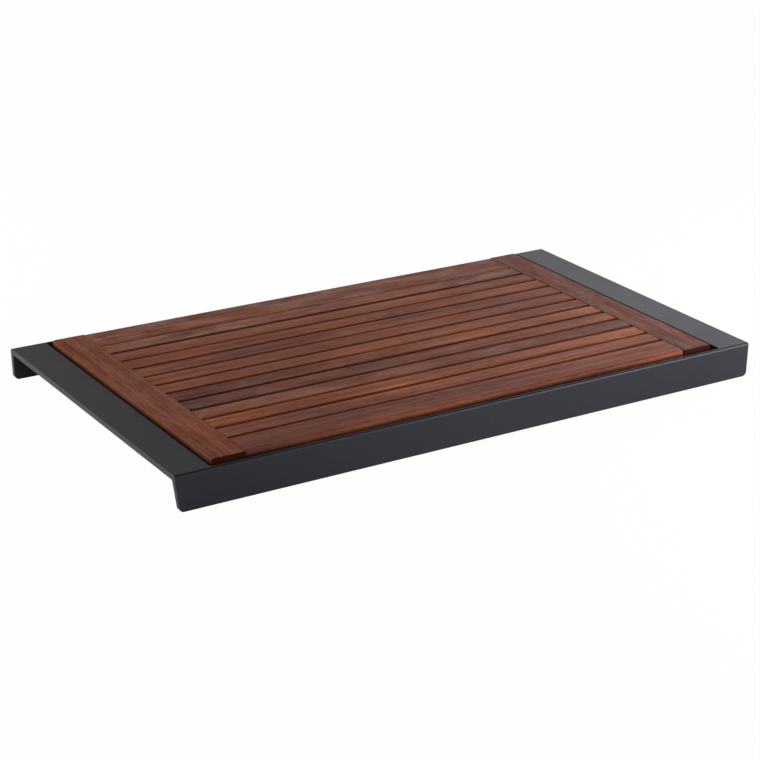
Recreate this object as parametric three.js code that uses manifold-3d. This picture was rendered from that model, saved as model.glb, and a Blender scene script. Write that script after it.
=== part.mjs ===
// A low serving tray: a folded sheet-metal frame with a lift-out grid of hardwood slats.
// Millimetres, +Z up. The origin is on the table under the tray's middle, and +X runs along the slats.

import * as THREE from 'three';
import { mergeVertices } from 'three/addons/utils/BufferGeometryUtils.js';
import Module from 'manifold-3d';

// Folded frame: one sheet with an apron bent down along each long side and both short ends open
const FRAME_LENGTH = 550;
const FRAME_DEPTH = 298;
const FRAME_HEIGHT = 30;
const SHEET = 4.5;
const BEND_RADIUS = 2;
const INNER_BEND_RADIUS = 1;
const PLATE_WIDTH = 30.5;
const BACK_FOOT_RISE = 3;
const APRON_CORNER_RADIUS = 4;
const FRONT_LEFT_CUT_BACK = 4;
const BACK_LEFT_CUT_BACK = 1;

// Grid: two end rails, a row of slats tenoned into them, and a batten under the middle
const GRID_END_GAP = 4.5;
const GRID_FRONT_GAP = 5.5;
const GRID_BACK_GAP = 1.5;
const GRID_RISE = 2.5;
const RAIL_WIDTH = 29;
const RAIL_THICKNESS = 14;
const SLAT_COUNT = 13;
const SLAT_GAP = 3.6;
const SLAT_THICKNESS = 12;
const FRONT_SLAT_WIDTH = 26.4;
const BACK_SLAT_WIDTH = 30.9;
const EASED_EDGE = 0.6;
const ROUNDED_EDGE = 2.5;
const TENON_LENGTH = 12;
const TENON_THICKNESS = 5;
const TENON_SHOULDER = 3;
const BATTEN_WIDTH = 24;
const BATTEN_THICKNESS = 8;
const BATTEN_INSET = 7;

// Countersunk screws that hold the batten to the slats
const SCREW_HEAD_DIAMETER = 6.6;
const SCREW_HEAD_HEIGHT = 2;
const SCREW_SHANK_DIAMETER = 3.4;
const SCREW_COVER = 5.5;
const SCREW_POINT = 1.8;
const SCREW_RECESS_SPAN = 3.2;
const SCREW_RECESS_WIDTH = 0.8;
const SCREW_RECESS_DEPTH = 1;

// Cross bars welded between the aprons, with push-in bumpers that the rails rest on
const BAR_WIDTH = 20;
const BAR_THICKNESS = 4;
const BUMPER_INSET = 31;
const BUMPER_HEAD_DIAMETER = 12;
const BUMPER_HEAD_HEIGHT = 1.6;
const BUMPER_CROWN = 0.5;
const BUMPER_STEM_DIAMETER = 5;
const BUMPER_BARB_DIAMETER = 6.4;
const BUMPER_BARB_LENGTH = 2.4;
const BUMPER_TIP_DIAMETER = 4;

// Stiffening ribs, set on edge under the end plates along the cut-out
const RIB_THICKNESS = 4;
const RIB_HEIGHT = 10;
const RIB_SETBACK = 1;

// Clearances
const WELD_GAP = 0.2;
const SEAT_GAP = 0.2;
const JOINT_GAP = 0.3;

// Smoothness of round stretches
const ARC_STEPS = 2;
const CORNER_STEPS = 3;
const SCREW_SIDES = 12;
const BUMPER_SIDES = 20;

// Spans and levels that follow from the sizes above
const cutOutLength = FRAME_LENGTH - 2 * PLATE_WIDTH;
const insideDepth = FRAME_DEPTH - 2 * SHEET;
const gridLength = cutOutLength - 2 * GRID_END_GAP;
const gridDepth = insideDepth - GRID_FRONT_GAP - GRID_BACK_GAP;
const gridY = (GRID_FRONT_GAP - GRID_BACK_GAP) / 2;
const slatSpan = gridLength - 2 * RAIL_WIDTH;
const slatLength = slatSpan - 2 * SEAT_GAP;
const innerSlatsDepth = gridDepth - FRONT_SLAT_WIDTH - BACK_SLAT_WIDTH - (SLAT_COUNT - 1) * SLAT_GAP;
const innerSlatWidth = innerSlatsDepth / (SLAT_COUNT - 2);
const railX = (gridLength - RAIL_WIDTH) / 2;
const deckZ = FRAME_HEIGHT + GRID_RISE;
const tenonZ = -SLAT_THICKNESS / 2;
const battenZ = -SLAT_THICKNESS - SEAT_GAP - BATTEN_THICKNESS / 2;
const battenUnderside = battenZ - BATTEN_THICKNESS / 2;
const screwFace = battenUnderside + JOINT_GAP;
const screwTip = -SCREW_COVER;
const bumperTop = deckZ - RAIL_THICKNESS - SEAT_GAP;
const barTop = bumperTop - BUMPER_HEAD_HEIGHT - SEAT_GAP;
const bumperY = gridDepth / 2 - BUMPER_INSET;
const ribX = cutOutLength / 2 + RIB_SETBACK + RIB_THICKNESS / 2;
const ribTop = FRAME_HEIGHT - SHEET - WELD_GAP;

// Sweep directions: a section drawn as (y, z) runs along X, and one drawn as (z, x) runs along Y
const X_AXIS = new THREE.Vector3(1, 0, 0);
const Y_AXIS = new THREE.Vector3(0, 1, 0);
const Z_AXIS = new THREE.Vector3(0, 0, 1);
const ALONG_X = new THREE.Matrix4().makeBasis(Y_AXIS, Z_AXIS, X_AXIS);
const ALONG_Y = new THREE.Matrix4().makeBasis(Z_AXIS, X_AXIS, Y_AXIS);

const wasm = await Module();
wasm.setup();

// Turns a closed geometry into a solid, without the empty triangles at the poles of a turned shape
function toSolid(geometry) {
  const bare = geometry.clone();
  bare.deleteAttribute('normal');
  bare.deleteAttribute('uv');
  const merged = mergeVertices(bare);
  const corners = merged.index.array;
  const triangles = [];
  for (let i = 0; i < corners.length; i += 3) {
    const [a, b, c] = corners.slice(i, i + 3);
    if (a !== b && b !== c && c !== a) triangles.push(a, b, c);
  }
  const vertProperties = new Float32Array(merged.attributes.position.array);
  const triVerts = new Uint32Array(triangles);
  return new wasm.Manifold(new wasm.Mesh({ numProp: 3, vertProperties, triVerts }));
}

// Turns a solid back into a geometry with flat faces
function toGeometry(solid) {
  const mesh = solid.getMesh();
  const geometry = new THREE.BufferGeometry();
  geometry.setAttribute('position', new THREE.BufferAttribute(mesh.vertProperties, mesh.numProp));
  geometry.setIndex(new THREE.BufferAttribute(mesh.triVerts, 1));
  const faceted = geometry.toNonIndexed();
  faceted.computeVertexNormals();
  return faceted;
}

function join(geometry, ...others) {
  return toGeometry(others.reduce((solid, other) => solid.add(toSolid(other)), toSolid(geometry)));
}

function cut(geometry, ...tools) {
  return toGeometry(tools.reduce((solid, tool) => solid.subtract(toSolid(tool)), toSolid(geometry)));
}

// Sweeps a section along X or Y, centred on the origin
function sweep(section, length, direction, steps = ARC_STEPS) {
  const settings = { depth: length, bevelEnabled: false, curveSegments: steps };
  const geometry = new THREE.ExtrudeGeometry(section, settings);
  return geometry.translate(0, 0, -length / 2).applyMatrix4(direction);
}

// A box given by its lowest and highest corner
function block(low, high) {
  const [dx, dy, dz] = high.map((value, axis) => value - low[axis]);
  const [x, y, z] = high.map((value, axis) => (value + low[axis]) / 2);
  return new THREE.BoxGeometry(dx, dy, dz).translate(x, y, z);
}

// A solid of revolution about Z from a profile of [radius, z] points
function turn(profile, sides) {
  const points = profile.map(([radius, z]) => new THREE.Vector2(radius, z));
  return new THREE.LatheGeometry(points, sides).rotateX(Math.PI / 2);
}

// A rectangle with its own radius at each corner, named by the low or high end of each axis
function roundedSection([u0, v0], [u1, v1], { lowLow, highLow, highHigh, lowHigh }) {
  const section = new THREE.Shape();
  section.moveTo(u0 + lowLow, v0);
  section.lineTo(u1 - highLow, v0);
  section.absarc(u1 - highLow, v0 + highLow, highLow, -Math.PI / 2, 0, false);
  section.lineTo(u1, v1 - highHigh);
  section.absarc(u1 - highHigh, v1 - highHigh, highHigh, 0, Math.PI / 2, false);
  section.lineTo(u0 + lowHigh, v1);
  section.absarc(u0 + lowHigh, v1 - lowHigh, lowHigh, Math.PI / 2, Math.PI, false);
  section.lineTo(u0, v0 + lowLow);
  section.absarc(u0 + lowLow, v0 + lowLow, lowLow, Math.PI, 1.5 * Math.PI, false);
  return section;
}

// The frame's folded section, with the front apron's foot on the table and the back one's a little above it
function frameSection() {
  const out = FRAME_DEPTH / 2;
  const inside = insideDepth / 2;
  const under = FRAME_HEIGHT - SHEET;
  const bend = FRAME_HEIGHT - BEND_RADIUS;
  const fillet = INNER_BEND_RADIUS;
  const section = new THREE.Shape();
  section.moveTo(-out, 0);
  section.lineTo(-inside, 0);
  section.lineTo(-inside, under - fillet);
  section.absarc(-inside + fillet, under - fillet, fillet, Math.PI, Math.PI / 2, true);
  section.lineTo(inside - fillet, under);
  section.absarc(inside - fillet, under - fillet, fillet, Math.PI / 2, 0, true);
  section.lineTo(inside, BACK_FOOT_RISE);
  section.lineTo(out, BACK_FOOT_RISE);
  section.lineTo(out, bend);
  section.absarc(out - BEND_RADIUS, bend, BEND_RADIUS, 0, Math.PI / 2, false);
  section.lineTo(-out + BEND_RADIUS, FRAME_HEIGHT);
  section.absarc(-out + BEND_RADIUS, bend, BEND_RADIUS, Math.PI / 2, Math.PI, false);
  return section;
}

// What is trimmed off one end of an apron: a rounded foot, and an end that slopes in by cutBack towards it
function endTrim(end, side, cutBack) {
  const top = FRAME_HEIGHT - SHEET;
  const foot = side > 0 ? BACK_FOOT_RISE : 0;
  const slope = Math.atan2(cutBack, top - foot);
  const radius = APRON_CORNER_RADIUS;
  const centreX = cutBack + radius * Math.tan((Math.PI / 2 - slope) / 2);
  const face = FRAME_LENGTH / 2;
  const outline = new THREE.Shape();
  outline.moveTo(top, face);
  outline.absarc(foot + radius, face - centreX, radius, Math.PI / 2 + slope, Math.PI, false);
  outline.lineTo(foot - radius, face - centreX);
  outline.lineTo(foot - radius, face + radius);
  outline.lineTo(top, face + radius);
  const trim = sweep(outline, 2 * SHEET, ALONG_Y, CORNER_STEPS);
  if (end < 0) trim.rotateZ(Math.PI);
  return trim.translate(0, side * (FRAME_DEPTH - SHEET) / 2, 0);
}

function foldedFrame() {
  const [x, y] = [cutOutLength / 2, insideDepth / 2];
  const bottom = FRAME_HEIGHT - SHEET - INNER_BEND_RADIUS;
  return cut(
    sweep(frameSection(), FRAME_LENGTH, ALONG_X),
    block([-x, -y, bottom], [x, y, FRAME_HEIGHT + SHEET]),
    endTrim(-1, -1, FRONT_LEFT_CUT_BACK),
    endTrim(-1, 1, BACK_LEFT_CUT_BACK),
    endTrim(1, -1, 0),
    endTrim(1, 1, 0),
  );
}

// A flat bar between the aprons, its top at z = 0, with a hole for each bumper's stem
function supportBar() {
  const [x, y] = [BAR_WIDTH / 2, insideDepth / 2 - WELD_GAP];
  const bore = BUMPER_STEM_DIAMETER / 2 + JOINT_GAP;
  const [low, high] = [-2 * BAR_THICKNESS, BAR_THICKNESS];
  const hole = turn([[0, low], [bore, low], [bore, high], [0, high]], BUMPER_SIDES);
  const holes = [-1, 1].map((side) => hole.clone().translate(0, side * bumperY, 0));
  return cut(block([-x, -y, -BAR_THICKNESS], [x, y, 0]), ...holes);
}

// A rib under an end plate, its top at z = 0, that ends short of the bends
function plateRib() {
  const [x, y] = [RIB_THICKNESS / 2, insideDepth / 2 - INNER_BEND_RADIUS - WELD_GAP];
  return toGeometry(toSolid(block([-x, -y, -RIB_HEIGHT], [x, y, 0])));
}

// A soft push-in bumper: a crowned head on the bar, whose top is z = 0, a stem through it and a barb below
function bumper() {
  const head = BUMPER_HEAD_DIAMETER / 2;
  const stem = BUMPER_STEM_DIAMETER / 2;
  const barb = BUMPER_BARB_DIAMETER / 2;
  const tip = BUMPER_TIP_DIAMETER / 2;
  const under = -BAR_THICKNESS - SEAT_GAP;
  const top = SEAT_GAP + BUMPER_HEAD_HEIGHT;
  return toGeometry(toSolid(turn([
    [0, under - BUMPER_BARB_LENGTH],
    [tip, under - BUMPER_BARB_LENGTH],
    [barb, under],
    [stem, under],
    [stem, SEAT_GAP],
    [head, SEAT_GAP],
    [head, top - BUMPER_CROWN],
    [head - BUMPER_CROWN, top],
    [0, top],
  ], BUMPER_SIDES)));
}

// The row of slats from front to back: each one's middle and width, and whether it is the front or back one
function slatRow() {
  const row = [];
  let front = -gridDepth / 2;
  for (let i = 0; i < SLAT_COUNT; i += 1) {
    const isFront = i === 0;
    const isBack = i === SLAT_COUNT - 1;
    const edgeWidth = isFront ? FRONT_SLAT_WIDTH : BACK_SLAT_WIDTH;
    const width = isFront || isBack ? edgeWidth : innerSlatWidth;
    row.push({ y: front + width / 2, width, isFront, isBack });
    front += width + SLAT_GAP;
  }
  return row;
}

// The block that a slat's tenon fills, or with clearance the mortise that takes it, at the end towards +X
function tenonBlock(width, clearance) {
  const start = slatLength / 2 - TENON_LENGTH;
  const end = slatSpan / 2 + TENON_LENGTH + clearance;
  const half = width / 2 - TENON_SHOULDER + clearance;
  const tall = TENON_THICKNESS / 2 + clearance;
  return block([start, -half, tenonZ - tall], [end, half, tenonZ + tall]);
}

// The round space that a batten screw's shank fills, open downwards
function screwBore(bottom, top) {
  const radius = SCREW_SHANK_DIAMETER / 2 + JOINT_GAP;
  return turn([[0, bottom], [radius, bottom], [radius, top], [0, top]], SCREW_SIDES);
}

// A slat with its top at z = 0, a tenon at each end and a blind hole for its screw
function slat({ width, isFront, isBack }) {
  const half = width / 2;
  const corners = {
    lowLow: EASED_EDGE,
    highLow: EASED_EDGE,
    highHigh: isBack ? ROUNDED_EDGE : EASED_EDGE,
    lowHigh: isFront ? ROUNDED_EDGE : EASED_EDGE,
  };
  const section = roundedSection([-half, -SLAT_THICKNESS], [half, 0], corners);
  const tenon = tenonBlock(width, 0);
  const body = join(sweep(section, slatLength, ALONG_X), tenon, tenon.clone().rotateZ(Math.PI));
  return cut(body, screwBore(battenZ, screwTip + JOINT_GAP));
}

// An end rail with its top at z = 0, a mortise for each slat and its outer edge rounded
function endRail(end) {
  const half = RAIL_WIDTH / 2;
  const corners = {
    lowLow: EASED_EDGE,
    highLow: end < 0 ? ROUNDED_EDGE : EASED_EDGE,
    highHigh: end > 0 ? ROUNDED_EDGE : EASED_EDGE,
    lowHigh: EASED_EDGE,
  };
  const section = roundedSection([-RAIL_THICKNESS, -half], [0, half], corners);
  const mortises = slatRow().map(({ y, width }) => {
    const mortise = tenonBlock(width, JOINT_GAP);
    if (end < 0) mortise.rotateZ(Math.PI);
    return mortise.translate(-end * railX, y, 0);
  });
  return cut(sweep(section, gridDepth, ALONG_Y), ...mortises);
}

// The cone of a screw's head, or with clearance its seat, widening down to the given level
function headCone(level, clearance) {
  const head = SCREW_HEAD_DIAMETER / 2 + clearance;
  const shank = SCREW_SHANK_DIAMETER / 2 + clearance;
  return [[0, level], [head, level], [shank, level + SCREW_HEAD_HEIGHT]];
}

// The batten under the slats, bored and countersunk for one screw in each slat
function battenUnderSlats() {
  const [x, y] = [BATTEN_WIDTH / 2, gridDepth / 2 - BATTEN_INSET];
  const top = battenUnderside + BATTEN_THICKNESS;
  const mouth = SCREW_HEAD_DIAMETER / 2 + JOINT_GAP;
  const mouthBottom = battenUnderside - SCREW_HEAD_HEIGHT;
  const all = { lowLow: EASED_EDGE, highLow: EASED_EDGE, highHigh: EASED_EDGE, lowHigh: EASED_EDGE };
  const body = sweep(roundedSection([battenUnderside, -x], [top, x], all), 2 * y, ALONG_Y);
  const seat = join(
    turn([...headCone(screwFace, JOINT_GAP), [0, screwFace + SCREW_HEAD_HEIGHT]], SCREW_SIDES),
    screwBore(screwFace + SCREW_HEAD_HEIGHT / 2, screwTip),
    turn([[0, mouthBottom], [mouth, mouthBottom], [mouth, screwFace], [0, screwFace]], SCREW_SIDES),
  );
  return cut(body, ...slatRow().map(({ y: middle }) => seat.clone().translate(0, middle, 0)));
}

// A countersunk screw that points up, with a cross recess in its head
function battenScrew() {
  const shank = SCREW_SHANK_DIAMETER / 2;
  const [span, slot] = [SCREW_RECESS_SPAN / 2, SCREW_RECESS_WIDTH / 2];
  const body = turn([...headCone(screwFace, 0), [shank, screwTip - SCREW_POINT], [0, screwTip]], SCREW_SIDES);
  const [low, high] = [screwFace - SCREW_RECESS_DEPTH, screwFace + SCREW_RECESS_DEPTH];
  const slotAlongX = block([-span, -slot, low], [span, slot, high]);
  const slotAlongY = block([-slot, -span, low], [slot, span, high]);
  return cut(body, slotAlongX, slotAlongY);
}

// Finishes: satin black coat on the sheet, oiled reddish hardwood, dark silicone and stainless steel
const POWDER_COAT = { color: 0x3d3c3f, roughness: 0.55, metalness: 0 };
const RAIL_WOOD = { color: 0x71483b, roughness: 0.5, metalness: 0 };
const SLAT_WOODS = [0x74493a, 0x69463a, 0x7c4d3a, 0x674c43, 0x704438];
const SLAT_WOOD = { roughness: 0.5, metalness: 0 };
const SILICONE = { color: 0x1d1d1e, roughness: 0.7, metalness: 0 };
const STAINLESS = { color: 0xb9b8b4, roughness: 0.35, metalness: 1 };

function piece(name, geometry, finish, x = 0, y = 0, z = 0) {
  const mesh = new THREE.Mesh(geometry, new THREE.MeshStandardMaterial(finish));
  mesh.name = name;
  mesh.position.set(x, y, z);
  return mesh;
}

// The frame and what is fixed to it
function buildFrame() {
  const frame = new THREE.Group();
  frame.add(piece('folded_frame', foldedFrame(), POWDER_COAT));
  for (const [end, endName] of [[-1, 'left'], [1, 'right']]) {
    frame.add(piece(`support_bar_${endName}`, supportBar(), POWDER_COAT, end * railX, 0, barTop));
    frame.add(piece(`plate_rib_${endName}`, plateRib(), POWDER_COAT, end * ribX, 0, ribTop));
    for (const [side, sideName] of [[-1, 'front'], [1, 'back']]) {
      const name = `bumper_${endName}_${sideName}`;
      frame.add(piece(name, bumper(), SILICONE, end * railX, side * bumperY, barTop));
    }
  }
  return frame;
}

// The grid that lifts out, a little behind the frame's middle, with the top of the wood at the group's z = 0
function buildGrid() {
  const grid = new THREE.Group();
  grid.position.set(0, gridY, deckZ);
  grid.add(piece('end_rail_left', endRail(-1), RAIL_WOOD, -railX));
  grid.add(piece('end_rail_right', endRail(1), RAIL_WOOD, railX));
  grid.add(piece('cross_batten', battenUnderSlats(), RAIL_WOOD));
  slatRow().forEach((place, i) => {
    const number = String(i + 1).padStart(2, '0');
    const wood = { ...SLAT_WOOD, color: SLAT_WOODS[i % SLAT_WOODS.length] };
    grid.add(piece(`slat_${number}`, slat(place), wood, 0, place.y));
    grid.add(piece(`batten_screw_${number}`, battenScrew(), STAINLESS, 0, place.y));
  });
  return grid;
}

const tray = new THREE.Group();
tray.add(buildFrame(), buildGrid());

export default tray;
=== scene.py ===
"""Looks of a low serving tray: a folded, powder-coated frame with a lift-out grid of oiled hardwood slats."""

import logging
import math
from collections.abc import Callable
from dataclasses import dataclass
from enum import Enum
from functools import partial
from typing import Any

import bmesh
import bpy
from mathutils import Matrix, Quaternion, Vector, noise


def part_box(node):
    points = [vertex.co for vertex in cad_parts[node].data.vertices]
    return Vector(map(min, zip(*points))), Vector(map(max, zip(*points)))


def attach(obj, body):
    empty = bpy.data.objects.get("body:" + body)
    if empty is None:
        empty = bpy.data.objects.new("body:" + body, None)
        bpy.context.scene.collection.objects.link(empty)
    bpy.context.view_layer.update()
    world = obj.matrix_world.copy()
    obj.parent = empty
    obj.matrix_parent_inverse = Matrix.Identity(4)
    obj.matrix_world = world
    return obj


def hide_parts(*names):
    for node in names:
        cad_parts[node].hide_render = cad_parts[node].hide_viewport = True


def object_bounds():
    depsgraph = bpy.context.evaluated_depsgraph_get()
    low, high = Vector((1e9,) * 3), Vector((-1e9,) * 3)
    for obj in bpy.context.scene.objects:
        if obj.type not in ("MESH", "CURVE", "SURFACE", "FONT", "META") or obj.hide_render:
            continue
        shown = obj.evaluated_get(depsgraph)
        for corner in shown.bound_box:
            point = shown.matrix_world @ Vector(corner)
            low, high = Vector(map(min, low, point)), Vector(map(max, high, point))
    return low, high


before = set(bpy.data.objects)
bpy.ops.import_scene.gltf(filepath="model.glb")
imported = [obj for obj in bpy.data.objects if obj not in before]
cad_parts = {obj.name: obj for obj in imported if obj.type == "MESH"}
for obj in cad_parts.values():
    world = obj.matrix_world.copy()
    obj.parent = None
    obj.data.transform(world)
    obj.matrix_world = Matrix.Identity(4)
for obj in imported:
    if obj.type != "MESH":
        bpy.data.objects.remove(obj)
cad_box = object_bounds()

LOG = logging.getLogger("serving_tray")
MM = 0.001
QUARTER = math.pi / 2
TO_RIGHT, TO_BACK, UP = Vector((1, 0, 0)), Vector((0, 1, 0)), Vector((0, 0, 1))

# Sockets of the Mix node for plain numbers and for colours, and of the Random Value node for plain numbers
MIX_FACTOR, MIX_LOW, MIX_HIGH, MIX_A, MIX_B, MIX_COLOUR = 0, 2, 3, 6, 7, 2
RANDOM_LOW, RANDOM_HIGH, RANDOM_SEED, RANDOM_NUMBER = 2, 3, 8, 1

# What each point of a wooden piece knows of its board, and how far apart in the log two boards were cut
BOARD_VALUES = ("board_tone", "board_grey", "board_lean", "board_dry")
LOG_STEP = Vector((0.83, 0.29, 0.17))

Point = tuple[float, float]
Pair = tuple[float, float]
Place = tuple[float, float, float]
# A pattern's lowest and highest value, and what they are turned into
Span = tuple[float, float, float, float]
Stops = tuple[tuple[float, str], ...]
# The function that adds nodes to one tree
AddNode = Callable[..., Any]


class Body(Enum):
    """The two bodies of the tray, by their names in the frame."""

    FRAME = "frame"
    GRID = "grid"


class Slot(Enum):
    """The record's material slots."""

    COAT = "powder_coat"
    RAIL = "rail_wood"
    SLAT = "slat_wood"
    SILICONE = "silicone"
    STAINLESS = "stainless"


class Grain(Enum):
    """Which way the fibres of a wooden piece run, as the turn about Z that brings them onto X."""

    ALONG_X = 0.0
    ALONG_Y = -QUARTER


class Board(Enum):
    """The boards that the wooden pieces were sawn from.

    Each has its tone, the share of grey over its red, how much lighter it grows towards the right end, and
    its share of pale patches.
    """

    DARK = (0.42, 0.4, 0.1, 0.1)
    SHADED = (0.5, 0.38, 0.24, 0.15)
    BROWN = (0.46, 0.25, 0.0, 0.1)
    PLAIN = (0.47, 0.3, 0.06, 0.15)
    RED = (0.55, 0.12, 0.02, 0.1)
    ORANGE = (0.65, 0.1, 0.04, 0.0)
    FADED = (0.43, 0.3, -0.16, 0.3)
    DRY = (0.43, 0.42, 0.02, 0.45)
    LEFT_RAIL = (0.55, 0.5, 0.0, 0.2)
    RIGHT_RAIL = (0.4, 0.4, 0.0, 0.25)


def linear(colour: str) -> tuple[float, float, float, float]:
    """Turns an sRGB hex colour into linear light.

    Args:
        colour: The colour as #rrggbb.

    Returns:
        Red, green, blue and an alpha of 1.
    """
    parts = [int(colour[i : i + 2], 16) / 255 for i in (1, 3, 5)]
    red, green, blue = (p / 12.92 if p <= 0.04045 else ((p + 0.055) / 1.055) ** 2.4 for p in parts)
    return red, green, blue, 1.0


def add_node(
    tree: bpy.types.NodeTree,
    kind: str,
    inputs: dict[str | int, Any] | tuple[Any, ...] = (),
    out: str | int = 0,
    **settings: Any,
) -> bpy.types.NodeSocket | None:
    """Adds a node with its settings and links.

    Args:
        tree: The tree that the node goes into.
        kind: The node's type.
        inputs: The sockets' values, in order or by name; an output, or a list of outputs, is linked.
        out: The output that is wanted.
        settings: The node's own properties; stops gives a colour ramp's places and colours.

    Returns:
        The wanted output, if the node has outputs.
    """
    made = tree.nodes.new(kind)
    stops = settings.pop("stops", ())
    for name, value in settings.items():
        setattr(made, name, value)
    for i, (place, colour) in enumerate(stops):
        elements = made.color_ramp.elements
        element = elements[i] if i < 2 else elements.new(place)
        element.position = place
        element.color = linear(colour)
    for name, value in inputs.items() if isinstance(inputs, dict) else enumerate(inputs):
        for output in value if isinstance(value, list) else [value]:
            if isinstance(output, bpy.types.NodeSocket):
                tree.links.new(output, made.inputs[name])
            else:
                made.inputs[name].default_value = output
    return made.outputs[out] if made.outputs else None


def new_material(name: str) -> tuple[bpy.types.Material, AddNode]:
    """Makes an empty node material.

    Args:
        name: What the material is and how it was made.

    Returns:
        The material, and the function that adds nodes to it.
    """
    material = bpy.data.materials.new(name)
    material.use_nodes = True
    material.node_tree.nodes.clear()
    return material, partial(add_node, material.node_tree)


def new_tree(name: str, inputs: dict[str, str], result: str) -> tuple[bpy.types.NodeTree, AddNode, Any]:
    """Makes an empty geometry tree.

    Args:
        name: What the tree makes.
        inputs: Its inputs' names and kinds.
        result: Its result's name.

    Returns:
        The tree, the function that adds nodes to it, and its inputs by name.
    """
    tree = bpy.data.node_groups.new(name, "GeometryNodeTree")
    for title, kind in inputs.items():
        tree.interface.new_socket(title, in_out="INPUT", socket_type=f"NodeSocket{kind}")
    tree.interface.new_socket(result, in_out="OUTPUT", socket_type="NodeSocketGeometry")
    add = partial(add_node, tree)
    return tree, add, add("NodeGroupInput").node.outputs


def end_tree(add: AddNode, copies: bpy.types.NodeSocket, finish: bpy.types.NodeSocket) -> None:
    """Ends a geometry tree: makes its copies real and gives them their material.

    Args:
        add: The function that adds nodes to the tree.
        copies: The copies.
        finish: The tree's input with the material.
    """
    solid = add("GeometryNodeRealizeInstances", {"Geometry": copies})
    dressed = add("GeometryNodeSetMaterial", {"Geometry": solid, "Material": finish})
    add("NodeGroupOutput", (dressed,))


def add_object(name: str, data: bpy.types.ID) -> bpy.types.Object:
    """Puts a mesh, a lamp or a camera into the scene as an object at the origin.

    Args:
        name: The object's name.
        data: What it shows.

    Returns:
        The object.
    """
    made = bpy.data.objects.new(name, data)
    bpy.context.scene.collection.objects.link(made)
    return made


def hang(name: str, data: bpy.types.ID, place: Vector, way: Vector, roll: float = 0.0) -> bpy.types.Object:
    """Hangs a lamp or a camera so that it looks a given way.

    Args:
        name: The object's name.
        data: The lamp or camera.
        place: Where it hangs.
        way: The way that it looks.
        roll: How far it is turned about that way, in radians.

    Returns:
        The object.
    """
    thing = add_object(name, data)
    thing.location = place
    thing.rotation_mode = "QUATERNION"
    thing.rotation_quaternion = way.to_track_quat("-Z", "Y") @ Quaternion(UP, roll)
    return thing


def settle(thing: bpy.types.Object) -> bpy.types.Object:
    """Turns an object's modifiers into its own plain mesh.

    Args:
        thing: The object with its modifiers.

    Returns:
        The same object, without modifiers.
    """
    graph = bpy.context.evaluated_depsgraph_get()
    done = thing.evaluated_get(graph)
    plain = bpy.data.meshes.new_from_object(done, preserve_all_data_layers=True, depsgraph=graph)
    thing.modifiers.clear()
    old = thing.data
    thing.data = plain
    bpy.data.meshes.remove(old)
    plain.name = thing.name
    return thing


def grow(name: str, tree: bpy.types.NodeTree, values: dict[str, Any]) -> bpy.types.Object:
    """Runs a geometry tree and keeps its result as a plain mesh.

    Args:
        name: The new object's name.
        tree: The geometry tree.
        values: The tree's inputs by name.

    Returns:
        The object with the finished mesh.
    """
    made = add_object(name, bpy.data.meshes.new(name))
    modifier = made.modifiers.new("grow", "NODES")
    modifier.node_group = tree
    for item in tree.interface.items_tree:
        if item.item_type == "SOCKET" and item.in_out == "INPUT" and item.name in values:
            modifier[item.identifier] = values[item.name]
    return settle(made)


def discard(*things: bpy.types.Object) -> None:
    """Removes cutters, and patterns that were only copied from."""
    for thing in things:
        bpy.data.objects.remove(thing)


def cut_away(thing: bpy.types.Object, cutters: list[bpy.types.Object]) -> None:
    """Cuts shapes out of an object.

    Args:
        thing: The object that is cut.
        cutters: The shapes, which are gone afterwards.
    """
    for cutter in cutters:
        cut = thing.modifiers.new("cut", "BOOLEAN")
        cut.object = cutter
        cut.solver = "EXACT"
    settle(thing)
    discard(*cutters)


def smooth(thing: bpy.types.Object) -> bpy.types.Object:
    """Shades round stretches smoothly and keeps large faces flat.

    Args:
        thing: The object to shade.

    Returns:
        The same object.
    """
    for polygon in thing.data.polygons:
        polygon.use_smooth = True
    flats = thing.modifiers.new("flat faces", "WEIGHTED_NORMAL")
    # The highest weight there is, so that the large faces alone decide
    flats.weight = 100
    return settle(thing)


def finish_piece(thing: bpy.types.Object, body: Body, nodes: list[str]) -> None:
    """Hangs a finished piece on its body and reports it.

    Args:
        thing: The piece.
        body: The body that it moves with.
        nodes: The CAD nodes that it stands for.
    """
    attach(thing, body.value)
    if nodes:
        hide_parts(*nodes)
    LOG.info("%s: %d faces, on %s", thing.name, len(thing.data.polygons), body.value)


def speckle(add: AddNode, size: float, layers: float) -> bpy.types.NodeSocket:
    """Adds an even speckle that stays in its place on the piece.

    Args:
        add: The function that adds nodes to the material.
        size: How far apart the specks are.
        layers: How many finer layers they have.

    Returns:
        A value from 0 to 1.
    """
    place = add("ShaderNodeTexCoord", out="Object")
    return add("ShaderNodeTexNoise", {"Vector": place, "Scale": 1 / size, "Detail": layers})


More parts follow.
